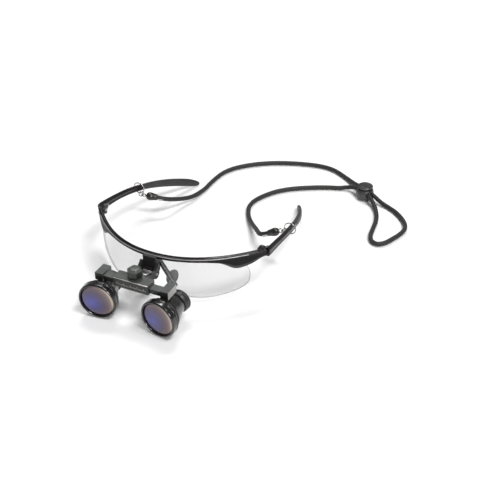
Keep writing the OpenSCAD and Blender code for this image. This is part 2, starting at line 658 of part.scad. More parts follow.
brow_frame();
lens_left();
lens_right();
wing_tab_left();
wing_tab_right();
nose_bracket();
nose_pad_left();
nose_pad_right();
mount_block();
flip_knuckle();
mount_screws();
flip_pin();
temple_hinge_pins();
temple_arm_left();
temple_arm_right();
temple_tip_left();
temple_tip_right();
hinge_barrel_left();
hinge_barrel_right();
strap_ring_left();
strap_ring_right();
strap_link_left();
strap_link_right();
strap_eye_left();
strap_eye_right();
strap_end_left();
strap_end_right();
strap_crimp_left();
strap_crimp_right();
cord_left();
cord_loop();
cord_right();
cord_lock_body();
cord_lock_button();
cord_lock_spring();
rail_housing();
rail_cover();
rail_cover_screws();
clamp_shoe();
lock_knob();
knob_screw();
slider_left();
slider_right();
post_left();
post_right();
barrel_left();
barrel_right();
objective_ring_left();
objective_ring_right();
objective_lens_left();
objective_lens_right();
retaining_ring_left();
retaining_ring_right();
eyepiece_lens_left();
eyepiece_lens_right();
eyecup_left();
eyecup_right();
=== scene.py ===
"""The looks of the dental loupes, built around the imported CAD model.

Lengths are written in millimetres and turned into metres by P(). Places are measured from the
bridge of the frame, x to the viewer's right, y back along the temples, z up from the floor.
"""

import math

import bpy
import numpy as np
from mathutils import Matrix, Vector


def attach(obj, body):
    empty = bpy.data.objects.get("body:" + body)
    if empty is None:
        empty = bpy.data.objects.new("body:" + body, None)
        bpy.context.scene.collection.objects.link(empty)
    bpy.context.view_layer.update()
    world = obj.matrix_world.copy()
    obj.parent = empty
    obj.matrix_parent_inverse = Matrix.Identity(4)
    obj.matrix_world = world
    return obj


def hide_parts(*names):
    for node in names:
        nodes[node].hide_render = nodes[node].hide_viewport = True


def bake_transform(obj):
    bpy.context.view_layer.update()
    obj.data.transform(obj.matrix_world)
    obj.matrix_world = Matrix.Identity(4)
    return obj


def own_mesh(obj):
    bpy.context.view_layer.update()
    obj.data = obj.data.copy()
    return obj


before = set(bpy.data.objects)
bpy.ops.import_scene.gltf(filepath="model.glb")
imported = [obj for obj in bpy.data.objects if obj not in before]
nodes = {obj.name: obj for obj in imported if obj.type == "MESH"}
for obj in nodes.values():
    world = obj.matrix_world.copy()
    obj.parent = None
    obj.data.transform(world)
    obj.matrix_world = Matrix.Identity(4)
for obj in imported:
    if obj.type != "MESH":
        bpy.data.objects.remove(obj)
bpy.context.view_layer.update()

MM = 0.001
BRIDGE_Y = -64.4


def P(x, y, z):
    """A place measured from the bridge in millimetres, as a point in metres."""
    return Vector((x, y + BRIDGE_Y, z)) * MM


# ---------------------------------------------------------------- camera

CAMERA_AZIMUTH = math.radians(25.06)
CAMERA_ELEVATION = math.radians(34.36)
CAMERA_DISTANCE = 723.94 * MM
CAMERA_TARGET = P(54.73, 60, 23.96)
CAMERA_LENS, CAMERA_SENSOR = 64.75, 36


def make_camera():
    """The camera looks down at its target from its azimuth, elevation and distance."""
    data = bpy.data.cameras.new("camera")
    data.lens = CAMERA_LENS
    data.sensor_width = CAMERA_SENSOR
    camera = bpy.data.objects.new("camera", data)
    bpy.context.scene.collection.objects.link(camera)
    a, e = CAMERA_AZIMUTH, CAMERA_ELEVATION
    back = Vector((math.sin(a) * math.cos(e), -math.cos(a) * math.cos(e), math.sin(e)))
    camera.location = CAMERA_TARGET + back * CAMERA_DISTANCE
    camera.rotation_euler = (math.pi / 2 - e, 0, a)
    bpy.context.scene.camera = camera


make_camera()


# ---------------------------------------------------------------- mesh helpers

def new_piece(name, verts, faces, materials, body=None, replaces=(), sharp=35):
    """A mesh object that rides a body, has a material slot and stands for CAD nodes."""
    mesh = bpy.data.meshes.new(name)
    mesh.from_pydata([tuple(v) for v in verts], [], faces)
    mesh.validate()
    for polygon in mesh.polygons:
        polygon.use_smooth = True
    mesh.set_sharp_from_angle(angle=math.radians(sharp))
    for material in materials if isinstance(materials, (list, tuple)) else [materials]:
        mesh.materials.append(material)
    piece = bpy.data.objects.new(name, mesh)
    bpy.context.scene.collection.objects.link(piece)
    if body:
        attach(piece, body)
    if replaces:
        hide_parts(*replaces)
    return piece


def skin(rings, closed=False, caps=True):
    """Vertices and quads through a list of equal rings of points, with flat ends if they are wanted."""
    count = len(rings[0])
    verts = [v for ring in rings for v in ring]
    faces = []
    last = len(rings) if closed else len(rings) - 1
    for i in range(last):
        a, b = i * count, (i + 1) % len(rings) * count
        for k in range(count):
            n = (k + 1) % count
            faces.append((a + k, a + n, b + n, b + k))
    if caps and not closed:
        faces.append(tuple(reversed(range(count))))
        faces.append(tuple((len(rings) - 1) * count + k for k in range(count)))
    return verts, faces


def flipped(faces):
    """Faces turned inside out, for a skin that has been mirrored."""
    return [tuple(reversed(f)) for f in faces]


def join(*parts):
    """One vertex and face list from several."""
    verts, faces = [], []
    for v, f in parts:
        start = len(verts)
        verts += list(v)
        faces += [tuple(i + start for i in face) for face in f]
    return verts, faces


def rounded(points, radius, steps=3):
    """A closed outline in the plane with its corners rounded off."""
    out = []
    n = len(points)
    for i in range(n):
        p, a, b = (Vector(points[j % n]) for j in (i, i - 1, i + 1))
        u, v = (a - p), (b - p)
        r = min(radius, 0.45 * u.length, 0.45 * v.length)
        start, end = p + u.normalized() * r, p + v.normalized() * r
        for k in range(steps + 1):
            t = k / steps
            out.append(((1 - t) ** 2 * start + 2 * t * (1 - t) * p + t * t * end)[:])
    return out


def off_axis(faces, count):
    """A turned skin's faces without the strip that joins the two ends of an open profile along the axis."""
    return [f for f in faces if not any({i % count, j % count} == {0, count - 1}
                                        for i, j in zip(f, f[1:] + f[:1]))]


def lathe(profile, matrix, turns=96, soft=0.12, closed=True):
    """A profile of (radius, height) turned round the matrix's z axis. An open profile ends on the axis."""
    if closed:
        outline = rounded(profile, soft)
    else:
        inner = rounded(profile, soft)
        outline = [profile[0]] + inner[4:-4] + [profile[-1]]
    rings = []
    for k in range(turns):
        c, s = math.cos(2 * math.pi * k / turns), math.sin(2 * math.pi * k / turns)
        rings.append([matrix @ (Vector((r * c, r * s, h)) * MM) for r, h in outline])
    verts, faces = skin(rings, closed=True)
    return verts, faces if closed else off_axis(faces, len(outline))


def smooth_path(points, steps, closed=False):
    """A Catmull-Rom curve through points, with that many steps between each pair."""
    pts = [Vector(p) for p in points]
    n = len(pts)
    out = []
    for i in range(n if closed else n - 1):
        if closed:
            a, b, c, d = (pts[(i + k) % n] for k in (-1, 0, 1, 2))
        else:
            a, b, c, d = (pts[min(max(i + k, 0), n - 1)] for k in (-1, 0, 1, 2))
        for k in range(steps):
            t = k / steps
            out.append(0.5 * (2 * b + (c - a) * t + (2 * a - 5 * b + 4 * c - d) * t ** 2
                              + (3 * b - a - 3 * c + d) * t ** 3))
    return out if closed else out + [pts[-1]]


def evenly(points, step):
    """The same line with a point every step."""
    pts = np.array([p[:] for p in points])
    gaps = np.linalg.norm(np.diff(pts, axis=0), axis=1)
    along = np.concatenate([[0], np.cumsum(gaps)])
    count = max(2, int(round(along[-1] / step)) + 1)
    at = np.linspace(0, along[-1], count)
    return [Vector([float(np.interp(t, along, pts[:, k])) for k in range(3)]) for t in at]


def frames_along(path):
    """Tangent, sideways and upward unit vectors at each point of a path that never runs straight up."""
    out = []
    for i in range(len(path)):
        t = (path[min(i + 1, len(path) - 1)] - path[max(i - 1, 0)]).normalized()
        side = Vector((-t.y, t.x, 0)).normalized()
        out.append((t, side, t.cross(side)))
    return out


def box_shape(low, high, soft, matrix=Matrix.Identity(4)):
    """A block with rounded edges, from six rounded rings along z."""
    (x0, y0, z0), (x1, y1, z1) = low, high
    rings = []
    for z, inset in ((z0, soft), (z0 + 0.3 * soft, 0.3 * soft), (z0 + soft, 0),
                     (z1 - soft, 0), (z1 - 0.3 * soft, 0.3 * soft), (z1, soft)):
        corners = [(x0 + inset, y0 + inset), (x1 - inset, y0 + inset),
                   (x1 - inset, y1 - inset), (x0 + inset, y1 - inset)]
        rings.append([matrix @ (Vector((x, y, z)) * MM) for x, y in rounded(corners, soft, 4)])
    return skin(rings)


AT_BRIDGE = Matrix.Translation(Vector((0, BRIDGE_Y, 0)) * MM)


# ---------------------------------------------------------------- materials

def principled(name, color, rough, metal=0.0, **more):
    """A material whose shader has constant values, and the handles that its detail is wired to."""
    material = bpy.data.materials.new(name)
    material.use_nodes = True
    tree = material.node_tree
    shader = tree.nodes["Principled BSDF"]
    shader.inputs["Base Color"].default_value = (*color, 1)
    shader.inputs["Roughness"].default_value = rough
    shader.inputs["Metallic"].default_value = metal
    for key, value in more.items():
        shader.inputs[key.replace("_", " ")].default_value = value
    return material, tree, shader


def noise(tree, scale, detail=4, rough=0.55, coords=None):
    """Noise fixed to the object, or to other coordinates."""
    node = tree.nodes.new("ShaderNodeTexNoise")
    node.inputs["Scale"].default_value = scale
    node.inputs["Detail"].default_value = detail
    node.inputs["Roughness"].default_value = rough
    if coords is None:
        place = tree.nodes.new("ShaderNodeTexCoord")
        coords = place.outputs["Object"]
    tree.links.new(coords, node.inputs["Vector"])
    return node.outputs["Fac"]


def spread(tree, value, low, high, start=0.3, end=0.7):
    """Maps a texture's value to a range."""
    node = tree.nodes.new("ShaderNodeMapRange")
    node.inputs["From Min"].default_value = start
    node.inputs["From Max"].default_value = end
    node.inputs["To Min"].default_value = low
    node.inputs["To Max"].default_value = high
    tree.links.new(value, node.inputs["Value"])
    return node.outputs["Result"]


def tint(tree, value, stops):
    """Maps a texture's value to a colour."""
    node = tree.nodes.new("ShaderNodeValToRGB")
    ramp = node.color_ramp
    while len(ramp.elements) < len(stops):
        ramp.elements.new(0.5)
    for element, (place, color) in zip(ramp.elements, stops):
        element.position = place
        element.color = (*color, 1)
    tree.links.new(value, node.inputs["Fac"])
    return node.outputs["Color"]


def bump(tree, shader, value, depth, strength=1.0):
    """Fine relief, with its depth in millimetres."""
    node = tree.nodes.new("ShaderNodeBump")
    node.inputs["Distance"].default_value = depth * MM
    node.inputs["Strength"].default_value = strength
    tree.links.new(value, node.inputs["Height"])
    tree.links.new(node.outputs["Normal"], shader.inputs["Normal"])


def moulded(name, dark, light, rough, grain, depth, metal=0.0, spread_rough=0.12, **more):
    """Painted, moulded or rubber surface: cloudy colour, uneven gloss and a fine grain."""
    material, tree, shader = principled(name, dark, rough, metal, **more)
    clouds = noise(tree, 90, 5)
    fine = noise(tree, grain, 3)
    tree.links.new(tint(tree, clouds, [(0.35, dark), (0.7, light)]), shader.inputs["Base Color"])
    smear = noise(tree, 220, 6, 0.65)
    tree.links.new(spread(tree, smear, rough - spread_rough / 2, rough + spread_rough / 2),
                   shader.inputs["Roughness"])
    bump(tree, shader, fine, depth)
    return material


def clear_sheet(name, color, alpha, rough=0.03):
    """Clear plastic or glass with a slight haze."""
    material, tree, shader = principled(name, color, rough, IOR=1.5)
    shader.inputs["Alpha"].default_value = alpha
    haze = noise(tree, 60, 4)
    tree.links.new(spread(tree, haze, rough * 0.6, rough * 2.2), shader.inputs["Roughness"])
    deep = tuple(c * 0.9 for c in color)
    tree.links.new(tint(tree, haze, [(0.3, deep), (0.7, color)]), shader.inputs["Base Color"])
    return material


def glass_with_painted_reflection():
    """Objective glass: a painted reflection of the coating, from blue-violet low on the disc to a bright
    amber painted highlight at the upper edge.
    """
    material, tree, shader = principled("glass_with_painted_reflection", (0.1, 0.08, 0.3), 0.05, 0.0, IOR=1.5,
                                        Coat_Weight=0.5, Coat_Roughness=0.02)
    uv = tree.nodes.new("ShaderNodeUVMap")
    uv.uv_map = "disc"
    reach = tree.nodes.new("ShaderNodeVectorMath")
    reach.operation = "DISTANCE"
    reach.inputs[1].default_value = (0.35, 0.42, 0)
    tree.links.new(uv.outputs["UV"], reach.inputs[0])
    wander = noise(tree, 45, 2)
    shift = tree.nodes.new("ShaderNodeMath")
    shift.operation = "MULTIPLY_ADD"
    shift.inputs[1].default_value = 0.1
    tree.links.new(wander, shift.inputs[0])
    tree.links.new(reach.outputs["Value"], shift.inputs[2])
    # The last and brightest stop is the painted highlight at the upper edge
    shade = tint(tree, shift.outputs["Value"], [
        (0.08, (0.045, 0.05, 0.32)), (0.26, (0.045, 0.035, 0.17)), (0.42, (0.06, 0.04, 0.08)),
        (0.54, (0.11, 0.075, 0.09)), (0.62, (0.22, 0.16, 0.145)), (0.69, (0.8, 0.66, 0.5))])
    tree.links.new(shade, shader.inputs["Base Color"])
    return material


def braid():
    """Woven cord: the strands are in the mesh, and each has a slight sheen and colour of its own."""
    material, tree, shader = principled("cord_braid", (0.018, 0.017, 0.018), 0.62,
                                        Sheen_Weight=0.08, Sheen_Roughness=0.4)
    uv = tree.nodes.new("ShaderNodeUVMap")
    uv.uv_map = "strands"
    fibres = noise(tree, 7, 4, 0.7, uv.outputs["UV"])
    tree.links.new(tint(tree, fibres, [(0.3, (0.004, 0.0037, 0.004)), (0.7, (0.021, 0.0195, 0.02))]),
                   shader.inputs["Base Color"])
    tree.links.new(spread(tree, fibres, 0.5, 0.8), shader.inputs["Roughness"])
    bump(tree, shader, fibres, 0.05)
    return material


def brushed(name, dark, light, rough, stretch=(1, 1, 40)):
    """Turned or drawn metal with fine lines."""
    material, tree, shader = principled(name, light, rough, 1.0)
    place = tree.nodes.new("ShaderNodeTexCoord")
    lines = tree.nodes.new("ShaderNodeMapping")
    lines.inputs["Scale"].default_value = stretch
    tree.links.new(place.outputs["Object"], lines.inputs["Vector"])
    streaks = noise(tree, 120, 5, 0.6, lines.outputs["Vector"])
    tree.links.new(tint(tree, streaks, [(0.3, dark), (0.7, light)]), shader.inputs["Base Color"])
    tree.links.new(spread(tree, streaks, rough - 0.06, rough + 0.1), shader.inputs["Roughness"])
    bump(tree, shader, streaks, 0.01)
    return material


GLOSS = moulded("frame_gloss", (0.005, 0.004, 0.0045), (0.010, 0.008, 0.009), 0.22, 900, 0.004,
                Specular_IOR_Level=0.36)
BAND_BLACK = moulded("frame_band", (0.004, 0.0035, 0.0035), (0.009, 0.0075, 0.0075), 0.5, 900, 0.004,
                     IOR=1.25)
WING_GREY = moulded("wing_grey", (0.03, 0.029, 0.029), (0.055, 0.053, 0.053), 0.42, 900, 0.006, IOR=1.3)
# A light grey for the brow bar's shoulder: a painted highlight line
FRAME_PAINTED_HIGHLIGHT = moulded("frame_painted_highlight", (0.2, 0.195, 0.195), (0.34, 0.33, 0.33), 0.2, 900, 0.004)
TIP_RUBBER = moulded("tip_rubber", (0.022, 0.021, 0.022), (0.034, 0.032, 0.034), 0.52, 1500, 0.02)
PAD_RUBBER = moulded("pad_rubber", (0.05, 0.049, 0.05), (0.14, 0.137, 0.14), 0.42, 700, 0.06)
NYLON = moulded("bracket_nylon", (0.006, 0.005, 0.0055), (0.016, 0.013, 0.014), 0.5, 1400, 0.03)
# A light grey on the nose legs' raised lines: a painted highlight
BRACKET_PAINTED_HIGHLIGHT = moulded("bracket_painted_highlight", (0.36, 0.355, 0.36), (0.6, 0.59, 0.6), 0.26, 1100, 0.01)
BRACKET = moulded("bracket_grey", (0.014, 0.0135, 0.014), (0.035, 0.034, 0.0345), 0.3, 1100, 0.02)
# A lighter copy of the rail grey: painted light on the sliders' outward end faces
RAIL_PAINTED_LIGHT = moulded("rail_painted_light", (0.26, 0.255, 0.245), (0.4, 0.39, 0.38), 0.34, 2600, 0.02, 0.4)
RAIL = moulded("rail_grey", (0.062, 0.068, 0.063), (0.108, 0.116, 0.11), 0.36, 2600, 0.03, 0.3)
# A darker copy of the rail grey: painted shade on front, downward and side faces, and the own dark colour of
# the housing's rear part
RAIL_DARK_AND_SHADE = moulded("rail_dark_and_painted_shade", (0.014, 0.0145, 0.014), (0.028, 0.029, 0.028), 0.34, 2600, 0.03, 0.3)
# A light grey for the rail's top front lip, where it is a painted highlight, and for the graduation marks
RAIL_HIGHLIGHT_AND_PRINT = moulded("rail_highlight_and_print", (0.38, 0.37, 0.35), (0.6, 0.59, 0.57), 0.3, 1800, 0.02, 0.8)
POST_BLACK = moulded("post_black", (0.012, 0.012, 0.013), (0.03, 0.03, 0.031), 0.36, 1500, 0.02, 0.3)
ENAMEL = moulded("barrel_black", (0.006, 0.0055, 0.006), (0.012, 0.011, 0.012), 0.2, 1200, 0.006,
                 Coat_Weight=0.5, Coat_Roughness=0.1)
COLLAR = moulded("collar_black", (0.014, 0.014, 0.013), (0.03, 0.031, 0.029), 0.38, 2000, 0.02, 0.3)
CUP_RUBBER = moulded("eyecup_rubber", (0.012, 0.011, 0.012), (0.024, 0.022, 0.024), 0.4, 1500, 0.02)
STRAP_RUBBER = moulded("strap_rubber", (0.008, 0.006, 0.006), (0.02, 0.017, 0.017), 0.26, 900, 0.02)
LOCK_PLASTIC = moulded("lock_plastic", (0.022, 0.021, 0.022), (0.05, 0.048, 0.049), 0.34, 1300, 0.03)
# A light grey for the band under the lock's cap: a painted highlight
LOCK_PAINTED_HIGHLIGHT = moulded("lock_painted_highlight", (0.13, 0.128, 0.13), (0.24, 0.235, 0.24), 0.3, 1300, 0.01)
STEEL = brushed("pin_steel", (0.3, 0.29, 0.28), (0.52, 0.51, 0.5), 0.3)
LIGHT_STEEL = brushed("ear_steel", (0.34, 0.33, 0.32), (0.6, 0.59, 0.58), 0.36, (1, 30, 1))
WIRE = brushed("strap_wire", (0.24, 0.235, 0.23), (0.58, 0.57, 0.56), 0.18)
LENS_CLEAR = clear_sheet("lens_clear", (0.36, 0.355, 0.36), 0.19)
LENS_EDGE = clear_sheet("lens_edge", (0.13, 0.13, 0.14), 0.5, 0.12)
EYE_GLASS = clear_sheet("eyepiece_glass", (0.02, 0.02, 0.035), 0.6, 0.04)
GLASS_PAINTED_REFLECTION = glass_with_painted_reflection()
BRAID = braid()


# ---------------------------------------------------------------- cords

# The cord's diameter, and the height of its centre where it lies on the table
CORD_D, CORD_Z = 4.0, 2.1

# The cord lock: where it stands, its turn, the height and half spacing of its two holes, and how far
# the cord's points reach from its middle
LOCK_AT, LOCK_TURN = (100, 215), math.radians(-33)
LOCK_CORD_Z, LOCK_PITCH, HOLE_REACH = 6.5, 2.3, 9.5


def lock_mouth(side, way):
    """Where a stretch of cord enters the lock, on one side of its middle and at one end."""
    c, s = math.cos(LOCK_TURN), math.sin(LOCK_TURN)
    return (LOCK_AT[0] - s * LOCK_PITCH * side + c * HOLE_REACH * way,
            LOCK_AT[1] + c * LOCK_PITCH * side + s * HOLE_REACH * way, LOCK_CORD_Z)


LEFT_ROUTE = [
    (-60, 109.5, 17), (-55.5, 111.8, 15.8), (-52.5, 115.5, 14), (-50.5, 120.5, 11.6), (-48.5, 126.5, 9),
    (-46, 133.5, 6.5), (-43, 142, 4.5), (-41.5, 152, 3), (-40.5, 163, 2.2), (-40.5, 175, CORD_Z),
    (-40, 187, CORD_Z), (-37.5, 201, CORD_Z), (-30, 214.5, CORD_Z), (-16, 228, CORD_Z), (1, 238.5, CORD_Z),
    (22, 246.5, CORD_Z), (42, 250.5, CORD_Z), (57, 248.5, CORD_Z), (72, 240, CORD_Z), (84, 230.5, 3.4),
    lock_mouth(1, -1), lock_mouth(1, 0)]
LOOP_ROUTE = [
    lock_mouth(1, 0), lock_mouth(1, 1), (117.5, 208.5, 3.4), (125, 205.5, CORD_Z), (134, 200, CORD_Z),
    (142, 192.5, CORD_Z), (148, 184, CORD_Z), (150.5, 175, CORD_Z), (149, 166, CORD_Z),
    (145.5, 156.5, CORD_Z), (141.5, 148, CORD_Z), (136, 143.5, CORD_Z), (130, 146, CORD_Z),
    (126.5, 154, CORD_Z), (125, 165, CORD_Z), (123.5, 177, CORD_Z), (120, 189, CORD_Z), (114.5, 199.5, 3.4),
    lock_mouth(-1, 1), lock_mouth(-1, 0)]
RIGHT_ROUTE = [
    (55.7, 94.5, 20), (51.2, 94.3, 17.9), (46.5, 97, 15.4), (41.5, 103.5, 12.6), (36.5, 110.5, 10),
    (31.5, 117, 7.4), (26, 124.5, 4.8), (20, 133, 2.9), (15, 141.5, CORD_Z), (11, 152, CORD_Z),
    (11, 163.5, CORD_Z), (15.5, 176, CORD_Z), (23, 188, CORD_Z), (33.5, 198, CORD_Z), (46.5, 206.5, CORD_Z),
    (61, 214, CORD_Z), (73, 218.5, CORD_Z), (82, 221, 3.6), lock_mouth(-1, -1), lock_mouth(-1, 0)]

# The weave: points round the cord, the step and pitch along it, and the depth between strands
BRAID_SIDES, BRAID_STEP, BRAID_PITCH, STRAND_DEPTH = 24, 0.42, 2.5, 0.16


def braid_relief(along, turn):
    """Height of the weave, 0 to 1: two sets of strands that cross and go over and under each other."""
    one = math.sin(2 * math.pi * along / BRAID_PITCH + 4 * turn)
    two = math.sin(2 * math.pi * along / BRAID_PITCH - 4 * turn)
    return max(abs(one), abs(two)) ** 0.8


def make_cord(name, route, node):
    """A woven cord along a route, and points spaced along its centre line."""
    path = evenly(smooth_path([P(*p) for p in route], 8), BRAID_STEP * MM)
    rings = []
    for i, (point, (_, side, up)) in enumerate(zip(path, frames_along(path))):
        ring = []
        for k in range(BRAID_SIDES):
            turn = 2 * math.pi * k / BRAID_SIDES
            r = CORD_D / 2 - STRAND_DEPTH * (1 - braid_relief(i * BRAID_STEP, turn))
            ring.append(point + (side * math.cos(turn) + up * math.sin(turn)) * r * MM)
        rings.append(ring)
    verts, faces = skin(rings)
    piece = new_piece(name, verts, faces, BRAID, replaces=[node], sharp=80)
    uv = piece.data.uv_layers.new(name="strands")
    for polygon in piece.data.polygons:
        for loop in polygon.loop_indices:
            ring, k = divmod(piece.data.loops[loop].vertex_index, BRAID_SIDES)
            uv.data[loop].uv = (ring * BRAID_STEP / CORD_D, 2 * k / BRAID_SIDES)
    return piece, evenly(path, CORD_D * MM)


def on_cord(side):
    """The wire parts that a cord's end hangs from."""
    return [nodes[f"strap_{part}_{side}"] for part in ("ring", "link", "eye")]


# ---------------------------------------------------------------- eyewear

# The brow curve sweeps back by BROW_SWEEP at BROW_HALF_W from the middle
BROW_HALF_W, BROW_SWEEP, BROW_POW = 74, 42, 2.16
BROW_TOP, BROW_DROP, BROW_T = 43.2, 1.6, 3.6
BROW_END = 75.8
LOWER_EDGE = [(0, 39.2), (24, 39.4), (40, 38.8), (49, 37.2), (53, 34.6), (56.5, 31), (59, 29.8), (63, 30),
              (67.5, 31.2), (71, 33.4), (73, 35.2), (77, 35.4)]


def brow_y(x):
    """How far the brow curve has swept back at a distance from the middle."""
    return BROW_SWEEP * (abs(x) / BROW_HALF_W) ** BROW_POW


def brow_place(x, out, z):
    """A point out from the brow curve, towards the front, at a height."""
    slope = math.copysign(BROW_SWEEP * BROW_POW / BROW_HALF_W
                          * (abs(x) / BROW_HALF_W) ** (BROW_POW - 1), x)
    n = math.hypot(1, slope)
    return P(x + out * slope / n, brow_y(x) - out / n, z)


def lower_edge(x):
    """The brow bar's lower edge, with its corners eased."""
    xs, zs = zip(*LOWER_EDGE)
    return float(np.mean(np.interp(abs(x) + np.linspace(-2, 2, 9), xs, zs)))


# Points round the bar's section: the shoulder under the top rim, coloured light as a painted highlight line,
# the matte face, and its lower lip
HIGHLIGHT_SHOULDER = set(range(20, 24))
FRONT_BAND = set(range(26, 42))
WING_LIP = set(range(36, 44))


def make_brow_bar():
    half = BROW_T / 2
    rings = []
    for i in range(201):
        x = BROW_END * (i / 100 - 1)
        top = BROW_TOP - BROW_DROP * (x / BROW_HALF_W) ** 2
        low = lower_edge(x)
        # A narrow rim runs along the top, and the front face starts from a sloping shoulder under it
        band = max(low + 1.0, top - 3.6)
        lip = low + max(0.75, min(2.6, 0.45 * (band - low)))
        outline = [(-half, low + 0.7), (-half, top - 0.8), (-half + 0.45, top - 0.15), (-half + 1.0, top),
                   (-half + 1.45, top - 0.12), (-half + 1.7, top - 0.75), (half - 1.05, top - 0.95),
                   (half - 0.35, top - 1.3), (half, top - 1.95), (half, band + 0.3), (half - 0.3, band),
                   (half - 0.3, lip + 0.15), (half - 0.1, lip), (half - 0.1, low + 0.6),
                   (half - 0.5, low + 0.15), (half - 1.0, low), (-half + 1.0, low), (-half + 0.3, low + 0.2)]
        rings.append([brow_place(x, out, z) for out, z in rounded(outline, 0.35, 2)])
    verts, faces = skin(rings)
    bar = new_piece("brow_bar", verts, faces, [GLOSS, FRAME_PAINTED_HIGHLIGHT, BAND_BLACK, WING_GREY], "frame",
                    ["brow_frame", "wing_tab_left", "wing_tab_right"], sharp=50)
    count = len(rings[0])
    for polygon in bar.data.polygons:
        if len(polygon.vertices) == 4:
            around = {v % count for v in polygon.vertices}
            far = abs(polygon.center.x) / MM
            # The shoulder's faces get the light grey as a painted highlight; the front band and the wing's
            # lower lip get their own materials
            polygon.material_index = (1 if around <= HIGHLIGHT_SHOULDER and far < 67 else
                                      3 if around <= WING_LIP and far > 50 else
                                      2 if around <= FRONT_BAND else 0)


LENS_OUTLINE = [(7.2, 40.6), (7.3, 36.9), (9.3, 31.5), (12.5, 24.5), (15.2, 18.2), (18, 12.8), (22.4, 8.7),
                (29.5, 6.0), (39.5, 5.4), (48.5, 6.4), (57, 8.4), (62.5, 10.6), (65.6, 13.4), (66.9, 17.2),
                (67.1, 22), (66.4, 27), (64.5, 31), (61, 33.5), (56, 35.2), (53, 38), (50, 40.6), (28, 40.7)]
LENS_T = 1.7


def make_lens(side, name):
    """A clear lens that follows the brow curve, with an edge that is easier to see."""
    outline = smooth_path([Vector((x, z, 0)) for x, z in LENS_OUTLINE], 6, closed=True)
    middle = Vector((36, 23, 0))
    rings = []
    front = [(0.02, 1), (0.15, 1), (0.35, 1), (0.55, 1), (0.75, 1), (0.9, 1), (0.975, 1), (0.994, 0.9)]
    for scale, reach in front + [(1.0, 0.6), (1.0, -0.6)] + [(s, -d) for s, d in reversed(front)]:
        ring = [middle + (p - middle) * scale for p in outline]
        rings.append([brow_place(side * p.x, reach * LENS_T / 2, p.y) for p in ring])
    verts, faces = skin(rings)
    if side < 0:
        faces = flipped(faces)
    lens = new_piece(f"clear_lens_{name}", verts, faces, [LENS_CLEAR, LENS_EDGE], "frame",
                     [f"lens_{name}"], sharp=60)
    count = len(outline)
    edge = {len(front) - 1, len(front), len(front) + 1}
    for polygon in lens.data.polygons:
        if len(polygon.vertices) == 4 and min(v // count for v in polygon.vertices) in edge:
            polygon.material_index = 1


TEMPLE_MAX_X, TIP_HALF_GAP, TEMPLE_REACH, TEMPLE_BOW_Y = 77, 52, 172, 50
TEMPLE_Y0, TIP_Y0, TIP_NOSE = 45.05, 107, 13


def temple_x(y):
    """The middle of a temple, from its bow near the hinge to the gap between the tips."""
    if y < TEMPLE_BOW_Y:
        return TEMPLE_MAX_X - 0.02 * (TEMPLE_BOW_Y - y) ** 2
    bow = (y - TEMPLE_BOW_Y) / (TEMPLE_REACH - 2 - TEMPLE_BOW_Y)
    return TEMPLE_MAX_X - (TEMPLE_MAX_X - TIP_HALF_GAP) * bow ** 2.63


def temple_z(y):
    """The height of a temple, which drops towards its tip."""
    s = y - 40
    return 38.1 - 0.08 * s - 0.001513 * s * s


def arm_height(y):
    """An arm is taller near its hinge."""
    return 5.4 + 2.6 * max(0, (75 - y) / 35) ** 1.5


def tip_height(y):
    """A tip swells towards its end and closes in a rounded nose."""
    u = (y - TIP_Y0) / (TEMPLE_REACH - TIP_Y0)
    body = 5.2 + 2.8 * math.sin(min(1, u / 0.75) * math.pi / 2)
    left = TEMPLE_REACH - y
    if left >= TIP_NOSE:
        return body
    return body * math.sqrt(max(0.02, 1 - ((TIP_NOSE - left) / TIP_NOSE) ** 2))


def make_temple_arm(side, name):
    """A slim arm with a shallow channel moulded along both faces."""
    rings = []
    for i in range(81):
        y = TEMPLE_Y0 + (TIP_Y0 - TEMPLE_Y0) * i / 80
        h, t = arm_height(y) / 2, 2.1
        g = 0.35 * min(1, i / 10, (80 - i) / 8)
        outline = [(-t, -0.62 * h), (-t, -0.3 * h), (-t + g, -0.16 * h), (-t + g, 0.16 * h), (-t, 0.3 * h),
                   (-t, 0.62 * h), (-0.62 * t, h), (0.62 * t, h), (t, 0.62 * h), (t, 0.3 * h),
                   (t - g, 0.16 * h), (t - g, -0.16 * h), (t, -0.3 * h), (t, -0.62 * h), (0.62 * t, -h),
                   (-0.62 * t, -h)]
        rings.append([P(side * (temple_x(y) + a), y, temple_z(y) + b) for a, b in rounded(outline, 0.4, 2)])
    verts, faces = skin(rings)
    if side > 0:
        faces = flipped(faces)
    new_piece(f"arm_{name}", verts, faces, GLOSS, f"temple_{name}", [f"temple_arm_{name}"], 50)


def make_temple_tip(side, name):
    """A soft rubber paddle, thick in the middle and thin at its edges."""
    rings = []
    steps = 90
    for i in range(steps + 1):
        u = i / steps
        y = TIP_Y0 + 0.1 + (TEMPLE_REACH - TIP_Y0 - 0.15) * (1 - (1 - u) ** 1.5)
        h = tip_height(y) / 2
        t = 2.05 - 0.5 * u
        if TEMPLE_REACH - y < 5:
            t *= math.sqrt(max(0.03, 1 - ((5 - TEMPLE_REACH + y) / 5) ** 2))
        if i < 3:
            t, h = t * (0.86 + 0.047 * i), h * (0.9 + 0.033 * i)
        ring = []
        for k in range(32):
            a = 2 * math.pi * k / 32
            c, s = math.cos(a), math.sin(a)
            ring.append(P(side * (temple_x(y) + t * math.copysign(abs(c) ** 0.6, c)), y,
                          temple_z(y) + h * math.copysign(abs(s) ** 0.75, s)))
        rings.append(ring)
    verts, faces = skin(rings)
    if side < 0:
        faces = flipped(faces)
    new_piece(f"tip_{name}", verts, faces, TIP_RUBBER, f"temple_{name}",
              [f"temple_tip_{name}"], 60)


HINGE_AT = (71.8, 45.2, 38.1)


